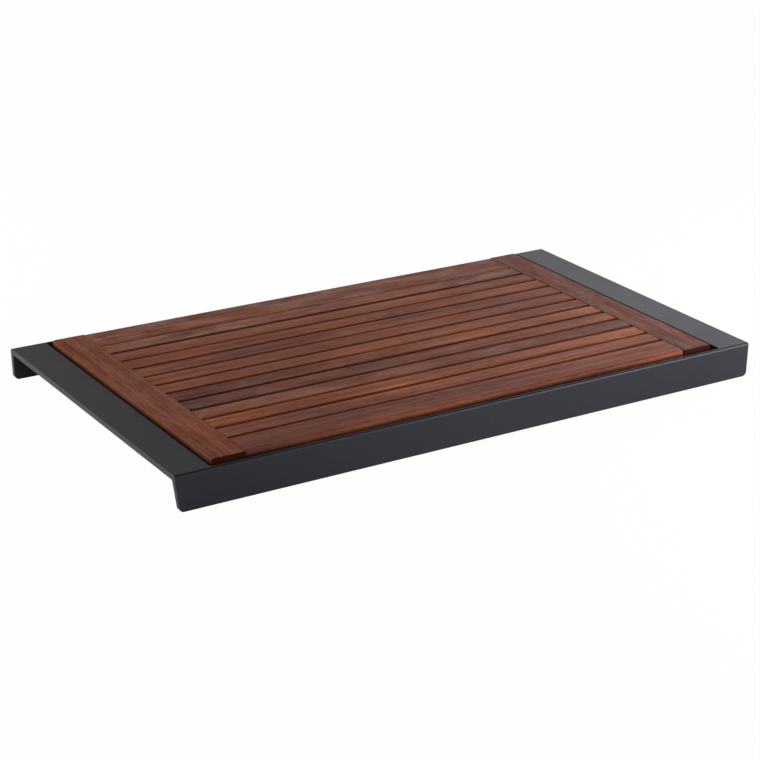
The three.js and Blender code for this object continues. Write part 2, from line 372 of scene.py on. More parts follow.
@dataclass(frozen=True)
class PowderCoat:
    """Polyester powder, sprayed dry on steel and baked: an even satin black with a slightly dimpled skin."""

    colour: str = "#17171a"
    fleck: str = "#1f1f23"
    tint: str = "#f6f1ff"
    dimple: float = 1.4 * MM
    dimple_depth: float = 0.03 * MM
    dimple_strength: float = 0.25
    drift: float = 45 * MM
    smoothest: float = 0.36
    roughest: float = 0.44
    shine: float = 0.3

    def build(self) -> bpy.types.Material:
        """Builds the coat's material.

        Returns:
            The material.
        """
        material, add = new_material("satin_powder_coat_baked_on_steel")
        # Dimples of a baked powder are about a millimetre apart, and only break up reflections
        dimples = speckle(add, self.dimple, layers=2.0)
        # Wide, faint patches where the powder lies a little thicker
        patches = speckle(add, self.drift, layers=3.0)
        mix = {MIX_FACTOR: dimples, MIX_A: linear(self.colour), MIX_B: linear(self.fleck)}
        relief = {"Height": dimples, "Strength": self.dimple_strength, "Distance": self.dimple_depth}
        rough = {"Value": patches, "To Min": self.smoothest, "To Max": self.roughest}
        skin = {
            "Base Color": add("ShaderNodeMix", mix, MIX_COLOUR, data_type="RGBA"),
            "Roughness": add("ShaderNodeMapRange", rough),
            "Normal": add("ShaderNodeBump", relief),
            "Specular IOR Level": self.shine,
            "Specular Tint": linear(self.tint),
        }
        add("ShaderNodeOutputMaterial", {"Surface": add("ShaderNodeBsdfPrincipled", skin)})
        return material


@dataclass(frozen=True)
class Streaks:
    """A pattern along the fibres: a streak's length and width, and how many finer layers it has."""

    length: float
    width: float
    layers: float

    def build(self, add: AddNode, place: bpy.types.NodeSocket) -> bpy.types.NodeSocket:
        """Adds the pattern to a material.

        Args:
            add: The function that adds nodes to the material.
            place: Coordinates with the fibres along X.

        Returns:
            A value from 0 to 1.
        """
        scale = (1 / self.length, 1 / self.width, 1 / self.width)
        scaled = add("ShaderNodeMapping", {"Vector": place, "Scale": scale})
        pattern = {"Vector": scaled, "Scale": 1.0, "Detail": self.layers, "Roughness": 0.6}
        return add("ShaderNodeTexNoise", pattern)


@dataclass(frozen=True)
class OiledHardwood:
    """Dense reddish hardwood, planed, eased and oiled: long streaks, fine fibres and a low sheen.

    Streaks carry most of the tone, stripes the year rings and fibres the fine texture. Drift shifts the tone,
    veil and patch say where it is grey or pale, and a further pattern breaks up the lightened edges, which
    are partly finish rubbed off and partly a painted highlight.
    """

    name: str
    grain: Grain
    half_length: float = 210 * MM
    streak: Streaks = Streaks(150 * MM, 4.5 * MM, 5.0)
    stripe: Streaks = Streaks(260 * MM, 1.5 * MM, 4.0)
    fibre: Streaks = Streaks(16 * MM, 1.5 * MM, 3.0)
    pore: Streaks = Streaks(6 * MM, 1.0 * MM, 1.0)
    veil: Streaks = Streaks(195 * MM, 5.4 * MM, 2.0)
    drift: Streaks = Streaks(130 * MM, 60 * MM, 1.0)
    # Breaks up the lightened edges, which are partly bare wood and partly a painted highlight
    rubbed_and_lit: Streaks = Streaks(55 * MM, 20 * MM, 2.0)
    patch: Streaks = Streaks(45 * MM, 14 * MM, 2.0)
    stripe_share: float = 0.35
    fibre_share: float = 0.3
    pore_share: float = 0.45
    # How strongly the ends take the dark end grain, and the sides in the gaps a painted shade
    sawn_and_shade_share: float = 0.68
    contrast: float = 0.4704
    tone_from: Pair = (0.32, 0.68)
    pore_from: Pair = (0.57, 0.7)
    drift_span: Span = (0.3, 0.7, -0.14, 0.14)
    veil_span: Span = (0.4, 0.65, 0.0, 1.0)
    patch_span: Span = (0.4, 0.7, 0.0, 1.0)
    rubbed_and_lit_span: Span = (0.4, 0.6, 0.45, 0.85)
    rough_span: Span = (0.3, 0.7, 0.5, 0.38)
    tones: Stops = (
        (0.0, "#3b1e17"), (1.0, "#ac6c42"), (0.25, "#5c2f22"), (0.5, "#793f2a"), (0.75, "#914e30"),
    )
    grey: str = "#4c3630"
    dry: str = "#a47c6e"
    # Colour of the pale patches
    end_grain: str = "#2a1108"
    # Colour of the lightened edges: partly bare wood, partly a painted highlight
    lit_bare_edge: str = "#8e4e30"
    relief: float = 0.3
    relief_depth: float = 0.08 * MM
    shine: float = 0.065

    def build(self) -> bpy.types.Material:
        """Builds the wood's material.

        Returns:
            The material.
        """
        material, add = new_material(self.name)
        own = add("ShaderNodeTexCoord", out="Object")
        marks = {
            name: add("ShaderNodeAttribute", out="Fac", attribute_name=name)
            for name in (*BOARD_VALUES, "eased", "sawn")
        }
        # Each board was cut elsewhere in the log, so its pattern starts at a place of its own
        start = add("ShaderNodeAttribute", out="Vector", attribute_name="board_start")
        moved = add("ShaderNodeVectorMath", (own, start), operation="ADD")
        place = add("ShaderNodeMapping", {"Vector": moved, "Rotation": (0.0, 0.0, self.grain.value)})
        streak, stripe, fibre, pore = (
            pattern.build(add, place) for pattern in (self.streak, self.stripe, self.fibre, self.pore)
        )
        veil, drift, rubbed_and_lit, patch = (
            pattern.build(add, place) for pattern in (self.veil, self.drift, self.rubbed_and_lit, self.patch)
        )
        textured = streak
        for share, finer in ((self.stripe_share, stripe), (self.fibre_share, fibre)):
            mix = {MIX_FACTOR: share, MIX_LOW: textured, MIX_HIGH: finer}
            textured = add("ShaderNodeMix", mix, data_type="FLOAT")
        # A board's tone drifts, grows lighter towards one end and swings with the streaks
        swing = (textured, *self.tone_from, -self.contrast, self.contrast)
        own_x = add("ShaderNodeSeparateXYZ", (own,), "X")
        along = add("ShaderNodeMath", (own_x, 1 / self.half_length), operation="MULTIPLY")
        lean = add("ShaderNodeMath", (along, marks["board_lean"]), operation="MULTIPLY")
        tone = add("ShaderNodeMapRange", (drift, *self.drift_span))
        for change in (lean, marks["board_tone"], add("ShaderNodeMapRange", swing, clamp=False)):
            tone = add("ShaderNodeMath", (tone, change), operation="ADD")
        greyness = add("ShaderNodeMath", (marks["board_grey"], lean), operation="SUBTRACT", use_clamp=True)
        # Fibres and pores are drawn some five times coarser than life, so that they show at the tray's size
        pores = add("ShaderNodeMapRange", (pore, *self.pore_from, 0.0, self.pore_share))
        colour = add("ShaderNodeValToRGB", (tone,), stops=self.tones)
        # Over the wood's colour lie a grey veil, pale patches, the pores, eased edges lightened warm and free
        # of grey, partly finish rubbed off and partly a painted highlight, and dark ends and sides: the ends
        # are end grain that soaked up oil, the sides in the gaps take a painted shade
        for mark, share, layer in (
            (greyness, add("ShaderNodeMapRange", (veil, *self.veil_span)), self.grey),
            (marks["board_dry"], add("ShaderNodeMapRange", (patch, *self.patch_span)), self.dry),
            (pores, 1.0, self.end_grain),
            (marks["eased"], add("ShaderNodeMapRange", (rubbed_and_lit, *self.rubbed_and_lit_span)), self.lit_bare_edge),
            (marks["sawn"], self.sawn_and_shade_share, self.end_grain),
        ):
            there = add("ShaderNodeMath", (mark, share), operation="MULTIPLY")
            mix = {MIX_FACTOR: there, MIX_A: colour, MIX_B: linear(layer)}
            colour = add("ShaderNodeMix", mix, MIX_COLOUR, data_type="RGBA")
        height = add("ShaderNodeMath", (fibre, pores), operation="SUBTRACT")
        relief = {"Height": height, "Strength": self.relief, "Distance": self.relief_depth}
        skin = {
            "Base Color": colour,
            "Roughness": add("ShaderNodeMapRange", (textured, *self.rough_span)),
            "Normal": add("ShaderNodeBump", relief),
            "Specular IOR Level": self.shine,
        }
        add("ShaderNodeOutputMaterial", {"Surface": add("ShaderNodeBsdfPrincipled", skin)})
        return material


@dataclass(frozen=True)
class Silicone:
    """Moulded silicone rubber: dark, matte and a little dusty."""

    colour: str = "#1b1b1c"
    dust: str = "#2b2a29"
    speck: float = 0.8 * MM
    speck_depth: float = 0.03 * MM
    speck_strength: float = 0.2
    smoothest: float = 0.6
    roughest: float = 0.8
    ior: float = 1.41

    def build(self) -> bpy.types.Material:
        """Builds the rubber's material.

        Returns:
            The material.
        """
        material, add = new_material("moulded_silicone_rubber")
        # Specks of dust lighten the rubber and dull it further
        specks = speckle(add, self.speck, layers=4.0)
        mix = {MIX_FACTOR: specks, MIX_A: linear(self.colour), MIX_B: linear(self.dust)}
        relief = {"Height": specks, "Strength": self.speck_strength, "Distance": self.speck_depth}
        rough = {"Value": specks, "To Min": self.smoothest, "To Max": self.roughest}
        skin = {
            "Base Color": add("ShaderNodeMix", mix, MIX_COLOUR, data_type="RGBA"),
            "Roughness": add("ShaderNodeMapRange", rough),
            "Normal": add("ShaderNodeBump", relief),
            "IOR": self.ior,
        }
        add("ShaderNodeOutputMaterial", {"Surface": add("ShaderNodeBsdfPrincipled", skin)})
        return material


@dataclass(frozen=True)
class StainlessSteel:
    """Cold-headed stainless steel, tumbled bright: small scratches every way soften its reflections."""

    colour: str = "#b9b7b2"
    shade: str = "#8f8d89"
    scratch: float = 0.25 * MM
    smoothest: float = 0.22
    roughest: float = 0.42

    def build(self) -> bpy.types.Material:
        """Builds the steel's material.

        Returns:
            The material.
        """
        material, add = new_material("tumbled_stainless_steel")
        scratches = speckle(add, self.scratch, layers=3.0)
        mix = {MIX_FACTOR: scratches, MIX_A: linear(self.shade), MIX_B: linear(self.colour)}
        rough = {"Value": scratches, "To Min": self.smoothest, "To Max": self.roughest}
        skin = {
            "Base Color": add("ShaderNodeMix", mix, MIX_COLOUR, data_type="RGBA"),
            "Roughness": add("ShaderNodeMapRange", rough),
            "Metallic": 1.0,
        }
        add("ShaderNodeOutputMaterial", {"Surface": add("ShaderNodeBsdfPrincipled", skin)})
        return material


def close_shape(name: str, shape: bmesh.types.BMesh) -> bpy.types.Object:
    """Turns a closed shape's faces outwards and makes it an object.

    Args:
        name: The object's name.
        shape: The shape, which is used up.

    Returns:
        The object.
    """
    bmesh.ops.recalc_face_normals(shape, faces=shape.faces)
    mesh = bpy.data.meshes.new(name)
    shape.to_mesh(mesh)
    shape.free()
    return add_object(name, mesh)


def lay_faces(shape: bmesh.types.BMesh, loops: list[list[bmesh.types.BMVert]]) -> None:
    """Lays faces between neighbouring loops of points, and over the first and the last one.

    Args:
        shape: The shape that holds the points.
        loops: The loops, all with as many points.
    """
    for one, other in zip(loops[:-1], loops[1:], strict=True):
        for i, vert in enumerate(one):
            after = (i + 1) % len(one)
            shape.faces.new((vert, one[after], other[after], other[i]))
    shape.faces.new(loops[0])
    shape.faces.new(loops[-1])


@dataclass
class EasedBar:
    """A straight bar of rounded rectangular section, its long edges and both ends eased.

    The section's corners run round from the low side and low level, and each has its own radius. For the low
    and the high side, one pair says how far the edge is lightened, partly finish rubbed off and partly a
    painted highlight; one how dark the side is painted, a painted shade that stands in for the shadow in the
    narrow gaps;
    and one how deep from the top the side stays free of that painted shade. The ends have their own dark
    measure, end_sawn, for their end grain, and a further value says how strongly the top's strip along the
    high side is lightened, a painted highlight.
    """

    low: Vector
    high: Vector
    grain: Grain
    radii: tuple[float, float, float, float]
    end_ease: float
    # Lightened edges are partly finish rubbed off and partly a painted highlight; the sides get painted shade
    bare_and_lit: Pair = (0.0, 0.0)
    sawn: Pair = (1.0, 1.0)
    # How deep from the top the side stays free of the painted shade
    unshaded_depth: Pair = (0.0, 0.0)
    end_sawn: float = 1.0
    # Painted highlight on the top's strip along the high side
    top_highlight: float = 0.0
    top_highlight_width: float = 2.2 * MM
    shade_fade: float = 0.5 * MM
    least_radius: float = 0.05 * MM
    arc_steps: int = 6
    end_steps: int = 4
    waver: float = 0.0
    waver_length: float = 70 * MM
    waver_layer: float = 0.5
    stations: int = 2

    def section(self, inset: float) -> list[tuple[float, float, float, float]]:
        """Works out the section, drawn in by an inset.

        Args:
            inset: How far the outline is drawn in.

        Returns:
            Points of the outline: across, up, how much painted highlight each has, partly bare wood, and how
                much painted shade.
        """
        across = 1 if self.grain is Grain.ALONG_X else 0
        sides = (self.low[across] + inset, self.high[across] - inset)
        levels = (self.low.z + inset, self.high.z - inset)
        points = []
        corners = zip(self.radii, ((0, 0), (1, 0), (1, 1), (0, 1)), strict=True)
        for turn, (radius, (side, level)) in enumerate(corners):
            left = max(radius - inset, self.least_radius)
            middle = (sides[side] - (2 * side - 1) * left, levels[level] - (2 * level - 1) * left)
            # Each point gets a share of painted highlight, partly bare wood, and of painted shade
            bare_and_lit, sawn = self.bare_and_lit[side], self.sawn[side]
            deep = self.unshaded_depth[side] if level else 0.0
            top_highlight = self.top_highlight if side and level else 0.0
            stops = [
                (sides[side], self.high.z - deep, bare_and_lit, 0.0),
                (sides[side], self.high.z - deep - self.shade_fade, 0.0, sawn),
            ]
            if deep and side:
                points += reversed(stops)
            for step in range(self.arc_steps + 1):
                angle = math.pi + (turn + step / self.arc_steps) * QUARTER
                across_at, up_at = middle[0] + left * math.cos(angle), middle[1] + left * math.sin(angle)
                sideways = abs(math.cos(angle))
                if deep:
                    points.append((across_at, up_at, bare_and_lit * sideways, 0.0))
                else:
                    # The top's strip takes a painted highlight, the edge a painted highlight that is partly
                    # bare wood
                    rubbed_and_lit = top_highlight * (1.0 - sideways) + bare_and_lit * sideways**2
                    points.append((across_at, up_at, rubbed_and_lit, sawn * sideways**2))
            if top_highlight:
                points.append((middle[0] - self.top_highlight_width, levels[level], 0.0, 0.0))
            if deep and not side:
                points += stops
        return points

    def rings(self) -> list[Pair]:
        """Works out where the bar's rings lie.

        Returns:
            For each ring its place along the bar and its inset.
        """
        along = 0 if self.grain is Grain.ALONG_X else 1
        start, end = self.low[along], self.high[along]
        ease = arc((self.end_ease, self.end_ease), self.end_ease, math.pi, 1.5 * math.pi, self.end_steps)
        span = end - start - 2 * self.end_ease
        middle = [(start + self.end_ease + span * i / self.stations, 0.0) for i in range(1, self.stations)]
        front = [(start + offset, inset) for offset, inset in ease]
        back = [(end - offset, inset) for offset, inset in reversed(ease)]
        return front + middle + back

    def build(self, name: str, finish: bpy.types.Material) -> bpy.types.Object:
        """Builds the bar.

        Args:
            name: The bar's name.
            finish: Its material.

        Returns:
            The bar, with how much painted highlight, partly bare wood, each point has, and how dark it is:
            end grain on the ends, painted shade on the sides.
        """
        shape = bmesh.new()
        eased = shape.verts.layers.float.new("eased")
        sawn = shape.verts.layers.float.new("sawn")
        loops = []
        rings = self.rings()
        for index, (place, inset) in enumerate(rings):
            ending = min(inset / self.end_ease, 1.0)
            # The noise is read between its grid planes, where it isn't zero
            seed = Vector((place / self.waver_length, self.low.y / MM, self.waver_layer))
            drift = 0.0 if index in (0, len(rings) - 1) else self.waver * noise.noise(seed)
            loop = []
            # The last value is how much painted shade the side takes
            for across, up, bare_and_lit, rough in self.section(inset):
                sideways = across + drift
                along_x = self.grain is Grain.ALONG_X
                vert = shape.verts.new((place, sideways, up) if along_x else (sideways, place, up))
                # The painted highlight fades out at the ends, which take the dark end grain
                vert[eased] = bare_and_lit * (1.0 - ending)
                vert[sawn] = max(rough, self.end_sawn * ending**3)
                loop.append(vert)
            loops.append(loop)
        lay_faces(shape, loops)
        bar = close_shape(name, shape)
        bar.data.materials.append(finish)
        return bar


def mark_board(mesh: bpy.types.Mesh, boards: list[Board], numbers: list[int]) -> None:
    """Gives each point of a mesh the values of its board, and the board's place in the log.

    Args:
        mesh: The mesh to mark.
        boards: The boards, in order.
        numbers: For each point, which board it belongs to.
    """
    for place, name in enumerate(BOARD_VALUES):
        mesh.attributes.new(name, "FLOAT", "POINT")
        mesh.attributes[name].data.foreach_set("value", [boards[number].value[place] for number in numbers])
    mesh.attributes.new("board_start", "FLOAT_VECTOR", "POINT")
    for point, number in enumerate(numbers):
        mesh.attributes["board_start"].data[point].vector = LOG_STEP * (number + 1)


def turned_profile(name: str, profile: list[Point], sides: int) -> bpy.types.Object:
    """Turns a profile about Z.

    Args:
        name: The object's name.
        profile: Points of radius and level, both ends on the axis.
        sides: How many sides the round has.

    Returns:
        The closed shape.
    """
    shape = bmesh.new()
    verts = [shape.verts.new((radius, 0.0, level)) for radius, level in profile]
    edges = [shape.edges.new(pair) for pair in zip(verts[:-1], verts[1:], strict=True)]
    round_z = {"cent": (0, 0, 0), "axis": UP, "dvec": (0, 0, 0), "angle": 2 * math.pi}
    bmesh.ops.spin(shape, geom=verts + edges, steps=sides, use_merge=True, **round_z)
    bmesh.ops.remove_doubles(shape, verts=shape.verts, dist=0.001 * MM)
    return close_shape(name, shape)


def prism(
    name: str, outline: list[Point], start: Vector, u: Vector, v: Vector, reach: Vector
) -> bpy.types.Object:
    """Sweeps an outline straight along a direction.

    Args:
        name: The object's name.
        outline: Points of the outline as (u, v).
        start: Where the outline's origin lies.
        u: The outline's first axis.
        v: The outline's second axis.
        reach: How far and which way it is swept.

    Returns:
        The closed shape.
    """
    shape = bmesh.new()
    near = [shape.verts.new(start + u * a + v * b) for a, b in outline]
    far = [shape.verts.new(vert.co + reach) for vert in near]
    lay_faces(shape, [near, far])
    return close_shape(name, shape)


def arc(middle: Point, radius: float, start: float, end: float, steps: int) -> list[Point]:
    """Works out points of an arc, both ends included.

    Args:
        middle: The arc's centre.
        radius: Its radius.
        start: The angle where it starts.
        end: The angle where it ends.
        steps: How many steps it has.

    Returns:
        The points.
    """
    angles = [start + (end - start) * i / steps for i in range(steps + 1)]
    return [(middle[0] + radius * math.cos(a), middle[1] + radius * math.sin(a)) for a in angles]


def rectangle(reach_x: float, reach_y: float) -> list[Point]:
    """Gives the corners of a rectangle about the origin, from half its sizes."""
    return [(-reach_x, -reach_y), (reach_x, -reach_y), (reach_x, reach_y), (-reach_x, reach_y)]


def row_tree() -> bpy.types.NodeTree:
    """Builds the tree that sets copies in an even row along Y, with one more before it and one behind it.

    Returns:
        The tree. Its result says in the attribute board which copy each point belongs to, from the front.
    """
    inputs = {
        "Inner Piece": "Object",
        "Front Piece": "Object",
        "Back Piece": "Object",
        "Inner Count": "Int",
        "First Place": "Float",
        "Pitch": "Float",
        "Front Place": "Float",
        "Back Place": "Float",
        "Uneven Level": "Float",
        "Uneven Turn": "Float",
        "Seed": "Int",
        "Finish": "Material",
    }
    tree, add, given = new_tree("even_row_with_end_copies", inputs, "Row")
    inner_number = add("ShaderNodeMath", (add("GeometryNodeInputIndex"), 1.0), operation="ADD")
    last_number = add("ShaderNodeMath", (given["Inner Count"], 1.0), operation="ADD")
    rows = []
    for piece, count, place, number in (
        ("Front Piece", 1, "Front Place", 0.0),
        ("Inner Piece", given["Inner Count"], "First Place", inner_number),
        ("Back Piece", 1, "Back Place", last_number),
    ):
        line = {
            "Count": count,
            "Start Location": add("ShaderNodeCombineXYZ", {"Y": given[place]}),
            "Offset": add("ShaderNodeCombineXYZ", {"Y": given["Pitch"]}),
        }
        shape = add("GeometryNodeObjectInfo", {"Object": given[piece]}, "Geometry")
        spread = {"Points": add("GeometryNodeMeshLine", line), "Instance": shape}
        named = {"Geometry": add("GeometryNodeInstanceOnPoints", spread), "Name": "board", "Value": number}
        rows.append(add("GeometryNodeStoreNamedAttribute", named, data_type="FLOAT", domain="INSTANCE"))
    uneven = []
    for step, amount in enumerate(("Uneven Level", "Uneven Turn")):
        draw = {
            RANDOM_LOW: add("ShaderNodeMath", (given[amount], -1.0), operation="MULTIPLY"),
            RANDOM_HIGH: given[amount],
            RANDOM_SEED: add("ShaderNodeMath", (given["Seed"], float(step)), operation="ADD"),
        }
        drawn = add("FunctionNodeRandomValue", draw, RANDOM_NUMBER, data_type="FLOAT")
        uneven.append(add("ShaderNodeCombineXYZ", {"Z": drawn}))
    joined = add("GeometryNodeJoinGeometry", {"Geometry": rows})
    moved = add("GeometryNodeTranslateInstances", {"Instances": joined, "Translation": uneven[0]})
    turned = add("GeometryNodeRotateInstances", {"Instances": moved, "Rotation": uneven[1]})
    end_tree(add, turned, given["Finish"])
    return tree


def corner_tree() -> bpy.types.NodeTree:
    """Builds the tree that sets a copy at each corner of a level rectangle, the back ones turned half round.

    Returns:
        The tree.
    """
    inputs = {"Piece": "Object", "Span X": "Float", "Span Y": "Float", "Finish": "Material"}
    tree, add, given = new_tree("copy_at_each_corner", inputs, "Copies")
    level = {"Size X": given["Span X"], "Size Y": given["Span Y"], "Vertices X": 2, "Vertices Y": 2}
    depth = add("ShaderNodeSeparateXYZ", (add("GeometryNodeInputPosition"),), "Y")
    at_back = add("ShaderNodeMath", (depth, 0.0), operation="GREATER_THAN")
    half_turn = add("ShaderNodeMath", (at_back, math.pi), operation="MULTIPLY")
    facing = add("ShaderNodeCombineXYZ", {"Z": half_turn})
    spread = {
        "Points": add("GeometryNodeMeshGrid", level),
        "Instance": add("GeometryNodeObjectInfo", {"Object": given["Piece"]}, "Geometry"),
        "Rotation": add("FunctionNodeEulerToRotation", (facing,)),
    }
    end_tree(add, add("GeometryNodeInstanceOnPoints", spread), given["Finish"])
    return tree


def bead_tree() -> bpy.types.NodeTree:
    """Builds the tree of a weld bead along X: overlapping ripples, each a little different.

    Returns:
        The tree.
    """
    inputs = {
        "Length": "Float",
        "Ripple Count": "Int",
        "Ripple Radius": "Float",
        "Smallest": "Float",
        "Largest": "Float",
        "Seed": "Int",
        "Finish": "Material",
    }
    tree, add, given = new_tree("weld_bead", inputs, "Bead")
    start = add("ShaderNodeMath", (given["Length"], -0.5), operation="MULTIPLY")
    gaps = add("ShaderNodeMath", (given["Ripple Count"], 1.0), operation="SUBTRACT")
    step = add("ShaderNodeMath", (given["Length"], gaps), operation="DIVIDE")
    line = {
        "Count": given["Ripple Count"],
        "Start Location": add("ShaderNodeCombineXYZ", {"X": start}),
        "Offset": add("ShaderNodeCombineXYZ", {"X": step}),
    }
    ripple = {"Segments": 14, "Rings": 8, "Radius": given["Ripple Radius"]}
    draw = {RANDOM_LOW: given["Smallest"], RANDOM_HIGH: given["Largest"], RANDOM_SEED: given["Seed"]}
    spread = {
        "Points": add("GeometryNodeMeshLine", line),
        "Instance": add("GeometryNodeMeshUVSphere", ripple),
        "Scale": add("FunctionNodeRandomValue", draw, RANDOM_NUMBER, data_type="FLOAT"),
    }
    end_tree(add, add("GeometryNodeInstanceOnPoints", spread), given["Finish"])
    return tree


@dataclass
class FoldedFrame:
    """The coated frame: one folded sheet, bars and ribs welded across it and soft bumpers in the bars."""

    sheet: float = 4.5 * MM
    bend: float = 2 * MM
    inner_bend: float = 1 * MM
    bend_steps: int = 10
    plate_width: float = 30.5 * MM
    back_foot_rise: float = 3 * MM
    foot_radius: float = 4 * MM
    front_left_cut_back: float = 4 * MM
    back_left_cut_back: float = 1 * MM
    cut_edge: float = 0.7 * MM
    cut_edge_steps: int = 3
    cut_edge_angle: float = math.radians(40)
    rim_edge: float = 2.4 * MM
    bar_edge: float = 0.6 * MM
    bead_radius: float = 1.7 * MM
    bead_ripples: int = 15
    bead_ripple_sizes: Pair = (0.88, 1.08)
    bead_seed: int = 5
    bumper_crown: float = 0.5 * MM
    bumper_stem: float = 2.5 * MM
    bumper_barb: float = 3.2 * MM
    bumper_tip: float = 2.0 * MM
    bumper_lift: float = 0.1 * MM
    bumper_steps: int = 4
    bumper_sides: int = 40

    def section(self) -> list[Point]:
        """Works out the folded section.

        Returns:
            Points of the outline as (y, z).
        """
        low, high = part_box("folded_frame")
        out, top = high.y, high.z
        inside, under = out - self.sheet, top - self.sheet
        fold, fillet, steps = self.bend, self.inner_bend, self.bend_steps
        back_foot = low.z + self.back_foot_rise
        outline = [(-out, low.z), (-inside, low.z)]
        outline += arc((-inside + fillet, under - fillet), fillet, math.pi, QUARTER, steps // 2)
        outline += arc((inside - fillet, under - fillet), fillet, QUARTER, 0.0, steps // 2)
        outline += [(inside, back_foot), (out, back_foot)]
        outline += arc((out - fold, top - fold), fold, 0.0, QUARTER, steps)
        outline += arc((-out + fold, top - fold), fold, QUARTER, math.pi, steps)
        return outline

    def end_trim(self, end: int, side: int, cut_back: float) -> bpy.types.Object:
        """Builds what is cut off an apron's end: its rounded foot, and a slope if it has one.

        Args:
            end: -1 for the left end, 1 for the right.
            side: -1 for the front apron, 1 for the back.
            cut_back: How far the end slopes in by the foot.

        Returns:
            The cutter.
        """
        low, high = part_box("folded_frame")
        top = high.z - self.sheet
        foot = self.back_foot_rise if side > 0 else 0.0
        slope = math.atan2(cut_back, top - foot)
        radius = self.foot_radius
        centre = cut_back + radius * math.tan((QUARTER - slope) / 2)
        outline = [(0.0, top)]
        outline += arc((centre, foot + radius), radius, math.pi + slope, 1.5 * math.pi, self.bend_steps)
        outline += [(centre, foot - radius), (-radius, foot - radius), (-radius, top)]
        # The cutter reaches one sheet past the apron on either side
        start = Vector((end * high.x, side * high.y + self.sheet * (-2 if side > 0 else -1), low.z))
        return prism("end_trim", outline, start, -end * TO_RIGHT, UP, 3 * self.sheet * TO_BACK)

    def rim_trim(self, side: int, reach: float) -> bpy.types.Object:
        """Builds what is cut off a rim's inner edge along the opening, to round it.

        Args:
            side: -1 for the front rim, 1 for the back.
            reach: Half the length of the rounded edge.

        Returns:
            The cutter.
        """
        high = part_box("folded_frame")[1]
        radius = self.rim_edge
        inside, above = high.y - self.sheet, high.z + self.sheet
        clear = inside - self.sheet
        outline = arc((inside + radius, high.z - radius), radius, math.pi, QUARTER, self.bend_steps)
        outline += [(inside + radius, above), (clear, above), (clear, high.z - radius)]
        return prism("rim_trim", outline, -reach * TO_RIGHT, side * TO_BACK, UP, 2 * reach * TO_RIGHT)

    def build_sheet(self, coat: bpy.types.Material) -> bpy.types.Object:
        """Builds the folded sheet with its cut-out and trimmed ends.

        Args:
            coat: The coat's material.

        Returns:
            The sheet.
        """
        low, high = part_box("folded_frame")
        length = (high.x - low.x) * TO_RIGHT
        sheet = prism("folded_sheet", self.section(), low.x * TO_RIGHT, TO_BACK, UP, length)
        opening_x, opening_y = high.x - self.plate_width, high.y - self.sheet
        bottom = (high.z - self.sheet - self.inner_bend) * UP
        opening = rectangle(opening_x, opening_y)
        cutters = [prism("opening", opening, bottom, TO_RIGHT, TO_BACK, 3 * self.sheet * UP)]
        for end, side, cut_back in (
            (-1, -1, self.front_left_cut_back),
            (-1, 1, self.back_left_cut_back),
            (1, -1, 0.0),
            (1, 1, 0.0),
        ):
            cutters.append(self.end_trim(end, side, cut_back))
        cutters += [self.rim_trim(side, opening_x - self.cut_edge) for side in (-1, 1)]
        cut_away(sheet, cutters)
        rounding = sheet.modifiers.new("coated edges", "BEVEL")
        rounding.width = self.cut_edge
        rounding.segments = self.cut_edge_steps
        rounding.limit_method = "ANGLE"
        rounding.angle_limit = self.cut_edge_angle
        settle(sheet)
        sheet.data.materials.append(coat)
        return smooth(sheet)

    def build_bar(self, node: str, name: str, coat: bpy.types.Material) -> bpy.types.Object:
        """Builds a welded bar or rib.

        Args:
            node: The CAD node that gives its size.
            name: The piece's name.
            coat: The coat's material.

        Returns:
            The bar.
        """
        low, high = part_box(node)
        edge = self.bar_edge
        return smooth(EasedBar(low, high, Grain.ALONG_Y, (edge,) * 4, edge).build(name, coat))

    def bead_pattern(self, coat: bpy.types.Material) -> bpy.types.Object:
        """Builds one weld bead at the front end of a bar, in the corner under it.

        Args:
            coat: The coat's material.

        Returns:
            The pattern to copy, its level in its mesh.
        """
        low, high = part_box("support_bar_left")
        smallest, largest = self.bead_ripple_sizes
        values = {
            "Length": high.x - low.x - 2 * self.bead_radius,
            "Ripple Count": self.bead_ripples,
            "Ripple Radius": self.bead_radius,
            "Smallest": smallest,
            "Largest": largest,
            "Seed": self.bead_seed,
            "Finish": coat,
        }
        bead = grow("weld_bead_pattern", bead_tree(), values)
        bead.data.transform(Matrix.Translation(low.z * UP))
        return bead

    def bumper_pattern(self, rubber: bpy.types.Material) -> bpy.types.Object:
        """Builds one push-in bumper.

        Args:
            rubber: The rubber's material.

        Returns:
            The pattern to copy, its level in its mesh.
        """
        low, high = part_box("bumper_left_front")
        bar_low, bar_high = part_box("support_bar_left")
        head, seat = (high.x - low.x) / 2, bar_high.z + self.bumper_lift
        stem, barb, crown, steps = self.bumper_stem, self.bumper_barb, self.bumper_crown, self.bumper_steps
        tip = self.bumper_tip - crown
        profile = [(0.0, low.z), (tip, low.z)]
        profile += arc((tip, low.z + crown), crown, -QUARTER, -QUARTER / 4, steps)
        profile += [(barb, bar_low.z - crown), (barb, bar_low.z), (stem, bar_low.z), (stem, seat)]
        profile += arc((head - crown, seat + crown), crown, -QUARTER, 0.0, steps)
        profile += arc((head - crown, high.z - crown), crown, 0.0, QUARTER, steps + 1)
        profile += [(head / 2, high.z), (0.0, high.z)]
        pattern = turned_profile("bumper_pattern", profile, self.bumper_sides)
        pattern.data.materials.append(rubber)
        return pattern

